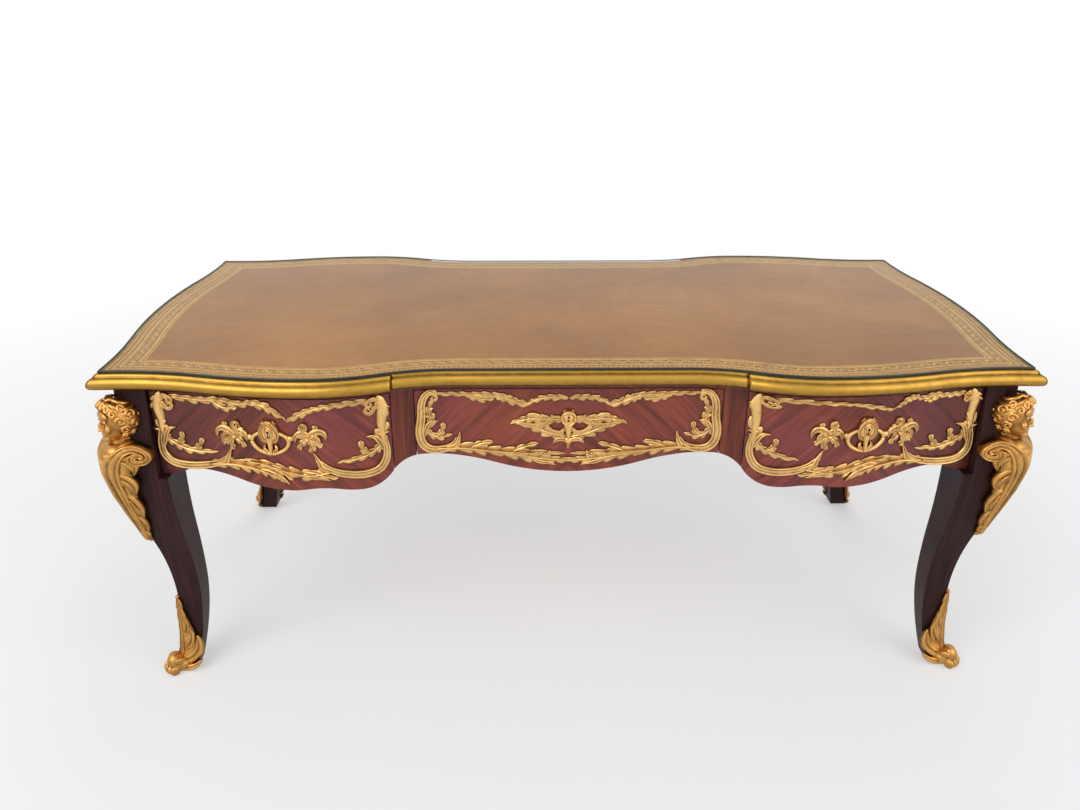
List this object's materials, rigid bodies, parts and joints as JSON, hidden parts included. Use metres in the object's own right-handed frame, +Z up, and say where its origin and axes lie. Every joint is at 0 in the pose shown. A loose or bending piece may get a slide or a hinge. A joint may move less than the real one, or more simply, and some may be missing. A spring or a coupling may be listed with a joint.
{
  "type": "writing table",
  "caption": "Serpentine writing table with frieze drawers, cabriole legs with bust mounts, bronze edge moulding, foliate frames and a leather top under glass.",
  "frame": {"origin": "on the floor under the middle of the table", "axes": "+X along the front towards the right end, -Y out of the drawer fronts, +Z up"},
  "size_m": [2, 0.984, 0.78],
  "materials": {
    "kingwood_veneer": "french polished kingwood, quarter matched",
    "stile_veneer": "french polished crossbanding",
    "leg_wood": "polished, very dark brown",
    "carcase_oak": "plain waxed oak",
    "gilt_bronze": "chased and gilded",
    "edge_bronze": "burnished gilding, worn to olive brown",
    "top_leather": "tooled and gilded along the edge",
    "top_glass": "clear plate glass with polished edges",
    "lock_steel": "plain filed steel"
  },
  "bodies": {
    "table": {"top_panel": "carcase_oak", "leather_panel": "top_leather", "glass_sheet": "top_glass", "back_panel": "kingwood_veneer", "moulding_curves": "edge_bronze", "moulding_right": "edge_bronze", "moulding_left": "edge_bronze", "moulding_front_centre": "edge_bronze", "moulding_back_centre": "edge_bronze", "corner_mounts": "gilt_bronze", "sabots": "gilt_bronze", "side_frames": "gilt_bronze", "back_frames": "gilt_bronze", "back_escutcheons": "gilt_bronze", "leg_front_right": "leg_wood", "leg_front_left": "leg_wood", "leg_back_right": "leg_wood", "leg_back_left": "leg_wood", "divider_right": "stile_veneer", "divider_left": "stile_veneer", "side_panel_right": "stile_veneer", "side_panel_left": "stile_veneer", "front_top_rail": "stile_veneer", "back_top_rail": "carcase_oak", "front_lower_rail": "carcase_oak", "back_lower_rail": "carcase_oak", "corner_blocks": "carcase_oak", "partition_right": "carcase_oak", "partition_left": "carcase_oak", "drawer_runners": "carcase_oak", "drawer_guides": "carcase_oak"},
    "drawer_right": {"drawer_right_front": "kingwood_veneer", "drawer_right_box": "carcase_oak", "drawer_right_bottom": "carcase_oak", "lock_right_case": "lock_steel", "frame_right": "gilt_bronze", "pull_right": "gilt_bronze"},
    "drawer_left": {"drawer_left_front": "kingwood_veneer", "drawer_left_box": "carcase_oak", "drawer_left_bottom": "carcase_oak", "lock_left_case": "lock_steel", "frame_left": "gilt_bronze", "pull_left": "gilt_bronze"},
    "drawer_centre": {"drawer_centre_front": "kingwood_veneer", "drawer_centre_box": "carcase_oak", "drawer_centre_bottom": "carcase_oak", "lock_centre_case": "lock_steel", "frame_centre": "gilt_bronze", "escutcheon_centre": "gilt_bronze"},
    "bolt_right": {"lock_right_bolt": "lock_steel"},
    "bolt_left": {"lock_left_bolt": "lock_steel"},
    "bolt_centre": {"lock_centre_bolt": "lock_steel"}
  },
  "joints": [
    {"name": "drawer_right_slide", "type": "slide", "parent": "table", "child": "drawer_right", "axis": [0, -1, 0], "range_m": [0, 0.33]},
    {"name": "drawer_left_slide", "type": "slide", "parent": "table", "child": "drawer_left", "axis": [0, -1, 0], "range_m": [0, 0.33]},
    {"name": "drawer_centre_slide", "type": "slide", "parent": "table", "child": "drawer_centre", "axis": [0, -1, 0], "range_m": [0, 0.33]},
    {"name": "bolt_right_slide", "type": "slide", "parent": "drawer_right", "child": "bolt_right", "axis": [0, 0, 1], "range_m": [0, 0.008]},
    {"name": "bolt_left_slide", "type": "slide", "parent": "drawer_left", "child": "bolt_left", "axis": [0, 0, 1], "range_m": [0, 0.008]},
    {"name": "bolt_centre_slide", "type": "slide", "parent": "drawer_centre", "child": "bolt_centre", "axis": [0, 0, 1], "range_m": [0, 0.008]}
  ]
}
